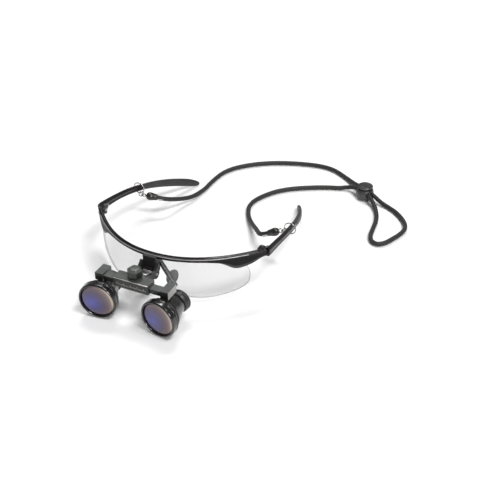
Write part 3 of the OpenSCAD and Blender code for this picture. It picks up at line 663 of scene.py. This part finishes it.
def hinge_matrix(side):
    """A temple hinge, with its lean, mirrored for the left side."""
    lean = Matrix.Rotation(math.radians(-10), 4, "X") @ Matrix.Rotation(math.radians(5.5 * side), 4, "Y")
    mirror = Matrix.Diagonal((side, 1, 1, 1))
    return AT_BRIDGE @ mirror @ Matrix.Translation(Vector(HINGE_AT) * MM) @ lean


def make_hinge_knuckles(side, name):
    """The two knuckles that are moulded on the brow bar, with the flats that carry them."""
    place = hinge_matrix(side)
    parts = []
    for z in (-3.5, 1.3):
        parts.append(lathe([(0.82, z), (2.3, z), (2.3, z + 2.2), (0.82, z + 2.2)], place, 48, 0.25))
        flat = rounded([(-1.6, -6.5), (3.2, -4.6), (2.1, -0.9), (-2.1, -0.6)], 0.4)
        parts.append(skin([[place @ (Vector((x, y, h)) * MM) for x, y in flat]
                           for h in (z + 0.05, z + 2.15)]))
    verts, faces = join(*parts)
    new_piece(f"hinge_knuckles_{name}", verts, faces, GLOSS, "frame", sharp=40)


# ---------------------------------------------------------------- nose piece and mount

LEG_PATH = [(2.8, 3.4, 37.5), (4.2, 3.6, 34.5), (7.4, 4.0, 29), (11, 4.5, 22.6), (14.2, 4.9, 16.8),
            (15.7, 5.1, 14), (16.1, 5.4, 12.9)]
PAD_AT = (12, 8.6, 17.4)

# A flat ribbon with three raised lines along its front, which are coloured light as a painted highlight
LEG_SECTION = [(-2.0, -1.0), (-1.55, -1.0), (-1.45, -0.6), (0.3, -0.6), (0.4, -0.9), (0.85, -0.9),
               (0.95, -0.6), (1.45, -0.6), (1.55, -1.0), (2.0, -1.0), (2.0, 0.7), (-2.0, 0.7)]
LEG_LINES = (0, 4, 8)


def make_nose_bracket():
    """The plate on the bridge, its two ribbed legs and the arms that hold the pads."""
    parts = [box_shape((-5.2, 1.85, 33.6), (5.2, 4.4, 39), 0.6, AT_BRIDGE)]
    edges = []
    for side in (-1, 1):
        path = smooth_path([P(side * x, y, z) for x, y, z in LEG_PATH], 8)
        rings = []
        for i, point in enumerate(path):
            t = (path[min(i + 1, len(path) - 1)] - path[max(i - 1, 0)]).normalized()
            across = t.cross(Vector((0, 1, 0))).normalized()
            back = across.cross(t)
            ease = min(1.0, 0.55 + 0.2 * (len(path) - 1 - i))
            rings.append([point + (across * side * a * ease + back * side * b * ease) * MM
                          for a, b in LEG_SECTION])
        edges.append((len(join(*parts)[0]), len(rings)))
        parts.append(skin(rings))
        arm = smooth_path([P(side * x, y, z) for x, y, z in
                           [(13.1, 4.9, 17.2), (13, 6.2, 17.8), (12.4, 7.8, 17.6), (11.8, 9, 17.4)]], 6)
        rings = [[p + (a * math.cos(k * math.pi / 8) + b * math.sin(k * math.pi / 8)) * 0.85 * MM
                  for k in range(16)] for p, (_, a, b) in zip(arm, frames_along(arm))]
        parts.append(skin(rings))
    verts, faces = join(*parts)
    bridge = new_piece("nose_bridge", verts, faces, [BRACKET, BRACKET_PAINTED_HIGHLIGHT], "frame",
                       ["nose_bracket"], 45)
    count = len(LEG_SECTION)
    # The raised lines' faces get the light grey as a painted highlight
    for start, rings in edges:
        lines = {start + ring * count + k
                 for ring in range(rings) for line in LEG_LINES for k in (line, line + 1)}
        for polygon in bridge.data.polygons:
            if len(polygon.vertices) == 4 and lines.issuperset(polygon.vertices):
                polygon.material_index = 1


def make_nose_pad(side, name):
    """An oval cushion, domed where it lies on the nose, with a shallow rim behind."""
    turn = Matrix.Rotation(math.radians(-38), 4, "Z") @ Matrix.Rotation(math.radians(12), 4, "Y")
    place = AT_BRIDGE @ Matrix.Diagonal((side, 1, 1, 1)) @ Matrix.Translation(Vector(PAD_AT) * MM) @ turn
    rings = []
    for depth, scale in ((0.2, 0.1), (0.15, 0.6), (0, 0.86), (-0.25, 0.97), (-0.7, 1.0), (-1.2, 0.97),
                         (-1.7, 0.88), (-2.15, 0.7), (-2.45, 0.45), (-2.58, 0.2), (-2.6, 0.05)):
        ring = []
        for k in range(56):
            a = 2 * math.pi * k / 56
            c, s = math.cos(a), math.sin(a)
            y = 5.2 * scale * math.copysign(abs(c) ** 0.85, c)
            z = 7.8 * scale * math.copysign(abs(s) ** 0.9, s)
            ring.append(place @ (Vector((depth, y, z)) * MM))
        rings.append(ring)
    verts, faces = skin(rings)
    if side > 0:
        faces = flipped(faces)
    new_piece(f"pad_{name}", verts, faces, PAD_RUBBER, "frame", [f"nose_pad_{name}"], 60)


# ---------------------------------------------------------------- loupes

EYE_AT = (30.5, -10.5, 15.5)
CONVERGENCE = math.radians(8)
BARREL_L, RING_L, RING_R, CUP_R, GLASS_SEAT_D = 31, 6.5, 15.5, 8.8, 27


def barrel_matrix(side):
    """Origin at the eyepiece's rear centre, +Z forward along the barrel."""
    turn = Matrix.Rotation(math.pi / 2, 4, "X") @ Matrix.Rotation(-side * CONVERGENCE, 4, "Y")
    x, y, z = EYE_AT
    return Matrix.Translation(P(side * x, y, z)) @ turn


def make_loupe(side, name):
    """One barrel from eyecup to front ring, as turned pieces on one axis."""
    place = barrel_matrix(side)
    body = f"loupe_{name}"
    front = BARREL_L - RING_L

    def piece(label, parts, material, slot_name, node, sharp=30):
        verts, faces = join(*parts)
        return new_piece(f"{label}_{name}", verts, faces, material, body, node, sharp)

    # The cone, with a turned step and a fine groove in front of the eyecup
    cone = [(5.8, 3.2), (7.4, 3.2), (7.55, 6.6), (7.9, 7.2), (8.05, 8.2), (12.35, 20.0), (12.5, 20.6),
            (12.2, 20.9), (12.2, 21.3), (11.2, 21.3), (11.2, 20.4), (5.8, 8.9)]
    piece("cone", [lathe(cone, place, 128, 0.2)], ENAMEL, "barrel_black", [f"barrel_{name}"])
    collar = [(12.3, 21.0), (13.5, 21.0), (13.65, 22.2), (13.35, 22.5), (13.35, 22.9), (13.7, 23.2),
              (13.9, front), (12.3, front)]
    piece("collar", [lathe(collar, place, 128, 0.15)], COLLAR, "barrel_black", [])
    ring = [(12.4, front), (RING_R - 0.5, front), (RING_R, front + 0.5), (RING_R, front + 1.5),
            (RING_R - 0.25, front + 1.75), (RING_R - 0.25, front + 2.05), (RING_R, front + 2.3),
            (RING_R, BARREL_L - 0.9), (RING_R - 0.75, BARREL_L), (RING_R - 1.35, BARREL_L),
            (RING_R - 1.75, BARREL_L - 0.7), (13.5, front + 1.0), (12.4, front + 1.0)]
    piece("front_ring", [lathe(ring, place, 160, 0.22)], ENAMEL, "barrel_black", [f"objective_ring_{name}"])
    make_objective(name, place, body, front)
    baffle = [(10.8, 20.5), (12.2, 20.5), (12.2, 24.0), (11.7, 24.0), (11.5, 23.4), (11.2, 23.7),
              (11.0, 23.2), (10.8, 23.5)]
    piece("baffle", [lathe(baffle, place, 96, 0.1)], COLLAR, "barrel_black", [f"retaining_ring_{name}"])
    eye = [(0, 4.75), (3, 4.6), (5.7, 4.05), (5.75, 4.5), (5.75, 6.9), (5.6, 7.2), (3, 6.7), (0, 6.5)]
    piece("eye_lens", [lathe(eye, place, 96, 0.1, closed=False)], EYE_GLASS, "eyepiece_glass",
          [f"eyepiece_lens_{name}"])
    cup = [(6.4, 0.35), (6.9, 0), (8.2, 0), (8.65, 0.3), (CUP_R, 0.9), (CUP_R, 1.7), (8.55, 1.95),
           (8.55, 2.3), (CUP_R, 2.55), (CUP_R, 4.5), (8.3, 6.3), (7.75, 6.4), (7.75, 3.2), (6.4, 3.2)]
    piece("cup", [lathe(cup, place, 128, 0.25)], CUP_RUBBER, "eyecup_rubber", [f"eyecup_{name}"])


def make_objective(name, place, body, front):
    """The domed front glass, with a ground bevel round its edge."""
    rise, curve = 5.38, 70.0
    profile = [(0, rise)]
    for r in np.linspace(1.2, 12.75, 16):
        profile.append((float(r), rise - curve + math.sqrt(curve ** 2 - float(r) ** 2)))
    profile += [(12.85, 4.15), (13.38, 3.62), (13.42, 3.4), (13.42, 0), (0, 0)]
    lift = Matrix.Translation(Vector((0, 0, front + 1.02)) * MM)
    turns = 128
    rings = []
    for k in range(turns):
        c, s = math.cos(2 * math.pi * k / turns), math.sin(2 * math.pi * k / turns)
        rings.append([place @ lift @ (Vector((r * c, r * s, h)) * MM) for r, h in profile])
    verts, faces = skin(rings, closed=True)
    count = len(profile)
    faces = off_axis(faces, count)
    glass = new_piece(f"objective_{name}", verts, faces, GLASS_PAINTED_REFLECTION, body,
                      [f"objective_lens_{name}"], 25)
    uv = glass.data.uv_layers.new(name="disc")
    for polygon in glass.data.polygons:
        for loop in polygon.loop_indices:
            turn, at = divmod(glass.data.loops[loop].vertex_index, count)
            a, r = 2 * math.pi * turn / turns, profile[at][0] / GLASS_SEAT_D
            uv.data[loop].uv = (0.5 + r * math.cos(a), 0.5 + r * math.sin(a))


POST_AT = (28.2, -26.6)


def make_post(side, name):
    """A short ribbed neck between the slider and its barrel."""
    profile = [(0, 18.6), (3.0, 18.6), (3.1, 19.2), (3.1, 25.6)]
    for k in range(3):
        z = 25.9 + k * 0.95
        profile += [(3.45, z), (3.45, z + 0.5), (2.95, z + 0.6), (2.95, z + 0.85)]
    profile += [(3.2, 28.95), (0, 28.95)]
    place = Matrix.Translation(P(side * POST_AT[0], POST_AT[1], 0))
    verts, faces = lathe(profile, place, 72, 0.1, closed=False)
    new_piece(f"neck_{name}", verts, faces, POST_BLACK, f"loupe_{name}", [f"post_{name}"], 40)


# ---------------------------------------------------------------- carrier

RAIL_Y0, RAIL_Z1, RAIL_HALF_W = -33, 37, 15
TICK_PITCH, TICK_W, TICK_Z = 1.15, 0.28, 31.4
KNOB_Y = -25.4
KNOB_TURN = math.radians(12)


def make_rail_trim():
    """A lip along the rail's top front edge, coloured light as a painted highlight, and the light graduation
    marks below it.
    """
    verts, faces = box_shape((-RAIL_HALF_W, RAIL_Y0 - 0.02, RAIL_Z1 - 0.55),
                             (RAIL_HALF_W, RAIL_Y0 + 0.6, RAIL_Z1 + 0.06), 0.2, AT_BRIDGE)
    new_piece("rail_highlight_lip", verts, faces, RAIL_HIGHLIGHT_AND_PRINT, "loupe_carrier", sharp=40)
    ticks = []
    for k in range(-11, 12):
        tall = 2.4 if k % 5 == 0 else 1.4
        x = k * TICK_PITCH
        ticks.append(box_shape((x - TICK_W / 2, RAIL_Y0 - 0.06, TICK_Z),
                               (x + TICK_W / 2, RAIL_Y0 + 0.1, TICK_Z + tall), 0.05, AT_BRIDGE))
    verts, faces = join(*ticks)
    new_piece("rail_scale", verts, faces, RAIL_HIGHLIGHT_AND_PRINT, "loupe_carrier", sharp=40)


def make_knob():
    """Six-sided lock knob: dished top, rounded corners and a finger groove round its foot."""
    levels = [(37.32, 4.1, 0), (38.05, 4.2, 0), (38.15, 5.2, 0.8), (38.6, 5.9, 1), (38.65, 5.95, 1),
              (43.1, 5.95, 1), (43.2, 5.9, 1), (44.75, 4.3, 1), (44.85, 4.1, 1), (45.0, 3.6, 0.9),
              (45.04, 1.4, 0)]
    count = 120
    rings = []
    for z, r, flat in levels:
        ring = []
        for k in range(count):
            a = 2 * math.pi * k / count
            # The angle from the nearest corner; the flats lie halfway between corners
            off = (a - KNOB_TURN + math.pi / 6) % (math.pi / 3) - math.pi / 6
            hexagon = math.cos(math.pi / 6) / math.cos(math.pi / 6 - abs(off))
            radius = r * (1 - flat * (1 - min(1, hexagon * 1.012)))
            ring.append(P(radius * math.cos(a), KNOB_Y + radius * math.sin(a), z))
        rings.append(ring)
    verts, faces = skin(rings)
    knob = new_piece("hex_knob", verts, faces, [RAIL, RAIL_DARK_AND_SHADE], "knob", ["lock_knob"], 20)
    # The knob's side faces get the darker grey as painted shade, against its lit top
    for polygon in knob.data.polygons:
        if abs(polygon.normal.z) < 0.3:
            polygon.material_index = 1


# ---------------------------------------------------------------- strap hardware

def aim(a, b):
    """A matrix at a whose z axis points to b."""
    z = (b - a).normalized()
    x = Vector((0, 0, 1)).cross(z).normalized()
    y = z.cross(x)
    turn = Matrix((x, y, z)).transposed().to_4x4()
    return Matrix.Translation(a) @ turn


def make_strap_end(name, route):
    """The rubber bead on a cord's end and the open wire clip beside it."""
    start, after = P(*route[0]), P(*route[1])
    direction = (after - start).normalized()
    head = start - direction * 10 * MM
    bead = [(0, 0), (1.9, 0.15), (2.9, 1.1), (3.45, 2.4), (3.6, 3.8), (3.45, 5.2), (3.15, 6.2), (3.3, 6.5),
            (3.1, 7.0), (2.85, 7.2), (2.9, 8.2), (2.65, 9.9), (0, 9.95)]
    verts, faces = lathe(bead, aim(head, start), 72, 0.25, closed=False)
    end = new_piece(f"bead_{name}", verts, faces, STRAP_RUBBER, f"temple_{name}",
                    [f"strap_end_{name}"], 50)
    inner, outer = CORD_D / 2 + 0.02, CORD_D / 2 + 0.5
    waist = outer - 0.22
    band = [(inner, 0.3), (outer, 0.3), (outer, 1.5), (waist, 1.75), (waist, 2.1), (outer, 2.35),
            (outer, 3.4), (waist, 3.65), (waist, 4.0), (outer, 4.25), (outer, 5.3), (inner, 5.3)]
    place = aim(start, after)
    rings = []
    for k in range(41):
        a = math.radians(175 + 190 * k / 40)
        rings.append([place @ (Vector((r * math.cos(a), r * math.sin(a), h)) * MM)
                      for r, h in rounded(band, 0.08)])
    verts, faces = skin(rings)
    crimp = new_piece(f"crimp_{name}", verts, faces, WIRE, f"temple_{name}",
                      [f"strap_crimp_{name}"], 40)
    return [end, crimp] + on_cord(name)


def make_lock_ring():
    """The raised ring on top of the push button."""
    ring = [(4.2, 13.3), (4.5, 13.55), (5.0, 13.7), (5.4, 13.55), (5.7, 13.3)]
    verts, faces = lathe(ring, Matrix.Translation(P(*LOCK_AT, 0)), 96, 0.15)
    return new_piece("lock_ring", verts, faces, LOCK_PLASTIC, "lock_button", sharp=60)


# ---------------------------------------------------------------- build

def dress(node, material, bevel=0.25, limit=32):
    """A CAD node keeps its shape: its edges are broken by a modifier and it gets its material."""
    piece = nodes[node]
    piece.data.materials.clear()
    piece.data.materials.append(material)
    weld = piece.modifiers.new("weld", "WELD")
    weld.merge_threshold = 2e-6
    if bevel:
        edge = piece.modifiers.new("edges", "BEVEL")
        edge.width = bevel * MM
        edge.segments = 2
        edge.limit_method = "ANGLE"
        edge.angle_limit = math.radians(limit)
        edge.harden_normals = True
    return piece


def shade_faces(piece, material, chosen):
    """Gives a second material to the faces whose middle and direction are chosen."""
    piece.data.materials.append(material)
    number = len(piece.data.materials) - 1
    for polygon in piece.data.polygons:
        middle = piece.matrix_world @ polygon.center
        normal = (piece.matrix_world.to_3x3() @ polygon.normal).normalized()
        if chosen(middle / MM, normal):
            polygon.material_index = number


def build():
    """Every piece: the lock and cords first, then the eyewear, the loupes and the carrier."""
    button = dress("cord_lock_button", LOCK_PLASTIC, 0.25)
    # A band round the cap's lower edge gets the light grey as a painted highlight
    shade_faces(button, LOCK_PAINTED_HIGHLIGHT, lambda at, normal: 12.2 < at.z < 12.9 and abs(normal.z) < 0.8)
    lock = [make_lock_ring(), button, nodes["cord_lock_body"], nodes["cord_lock_spring"]]
    left_end = make_strap_end("left", LEFT_ROUTE)
    right_end = make_strap_end("right", RIGHT_ROUTE)
    cord, path = make_cord("neck_cord_left", LEFT_ROUTE, "cord_left")
    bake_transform(cord)
    cord, path = make_cord("neck_cord_right", RIGHT_ROUTE, "cord_right")
    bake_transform(cord)
    cord, path = make_cord("neck_cord_loop", LOOP_ROUTE, "cord_loop")
    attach(cord, "frame")

    make_brow_bar()
    make_nose_bracket()
    for side, name in ((-1, "left"), (1, "right")):
        make_lens(side, name)
        make_temple_arm(side, name)
        make_temple_tip(side, name)
        make_hinge_knuckles(side, name)
        make_nose_pad(side, name)
        make_loupe(side, name)
        make_post(side, name)
        slider = dress(f"slider_{name}", RAIL, 0.35)
        # Front and downward faces get the darker grey as painted shade
        shade_faces(slider, RAIL_DARK_AND_SHADE, lambda at, normal: normal.y < -0.7 or normal.z < -0.5)
        # The outward-facing end faces get the lighter grey as painted light
        shade_faces(slider, RAIL_PAINTED_LIGHT, lambda at, normal: normal.x * side > 0.7 and abs(at.x) > 30)
        dress(f"hinge_barrel_{name}", STEEL, 0.2)
        for part in ("ring", "link", "eye"):
            dress(f"strap_{part}_{name}", WIRE, 0)
    make_rail_trim()
    make_knob()
    dress("mount_block", NYLON, 0.4)
    dress("flip_knuckle", LIGHT_STEEL, 0.15)
    dress("flip_pin", STEEL, 0.2)
    dress("temple_hinge_pins", STEEL, 0.15)
    dress("mount_screws", STEEL, 0.08)
    housing = dress("rail_housing", RAIL, 0.3)
    # The housing's rear part is dark in its own colour; its front and downward faces get the same darker
    # grey as painted shade
    shade_faces(housing, RAIL_DARK_AND_SHADE,
                lambda at, normal: at.y - BRIDGE_Y > -21 or normal.y < -0.7 or normal.z < -0.5)
    dress("rail_cover", RAIL, 0.25)
    dress("rail_cover_screws", STEEL, 0.06)
    dress("clamp_shoe", STEEL, 0.1)
    dress("knob_screw", STEEL, 0.15)
    dress("cord_lock_body", LOCK_PLASTIC, 0.3)
    spring = dress("cord_lock_spring", STEEL, 0)
    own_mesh(spring)


build()


# ---------------------------------------------------------------- studio

FLOOR_HALF, FLOOR_Z = 6.0, -0.4 * MM
WORLD_STRENGTH = 0.22


def area_light(name, place, target, size, power):
    """A rectangular light aimed at a target."""
    data = bpy.data.lights.new(name, "AREA")
    data.shape = "RECTANGLE"
    data.size, data.size_y = size
    data.energy = power
    light = bpy.data.objects.new(name, data)
    light.location = place
    light.rotation_euler = (Vector(target) - Vector(place)).to_track_quat("-Z", "Y").to_euler()
    bpy.context.scene.collection.objects.link(light)


def make_floor():
    """A pale matte floor just under the part."""
    material, tree, shader = principled("floor", (0.93, 0.93, 0.93), 0.8)
    paper = noise(tree, 60, 4)
    tree.links.new(tint(tree, paper, [(0.3, (0.92, 0.92, 0.92)), (0.7, (0.94, 0.94, 0.94))]),
                   shader.inputs["Base Color"])
    r, z = FLOOR_HALF, FLOOR_Z
    mesh = bpy.data.meshes.new("floor")
    mesh.from_pydata([(-r, -r, z), (r, -r, z), (r, r, z), (-r, r, z)], [], [(0, 1, 2, 3)])
    mesh.materials.append(material)
    floor = bpy.data.objects.new("floor", mesh)
    bpy.context.scene.collection.objects.link(floor)


def make_studio():
    """The floor, a dim even world and three soft lights."""
    make_floor()
    world = bpy.data.worlds.new("studio")
    world.use_nodes = True
    sky = world.node_tree.nodes["Background"]
    sky.inputs["Color"].default_value = (1, 1, 1, 1)
    sky.inputs["Strength"].default_value = WORLD_STRENGTH
    bpy.context.scene.world = world
    area_light("key", (1.0, -0.3, 1.9), (0.05, 0.05, 0), (0.9, 0.6), 30)
    area_light("top", (-0.5, 1.0, 1.9), (0.05, 0.05, 0), (1.1, 0.5), 22)
    area_light("right", (1.35, -1.25, 0.85), (0.05, 0, 0), (0.5, 0.5), 14)
    bpy.context.scene.view_settings.view_transform = "Standard"


make_studio()
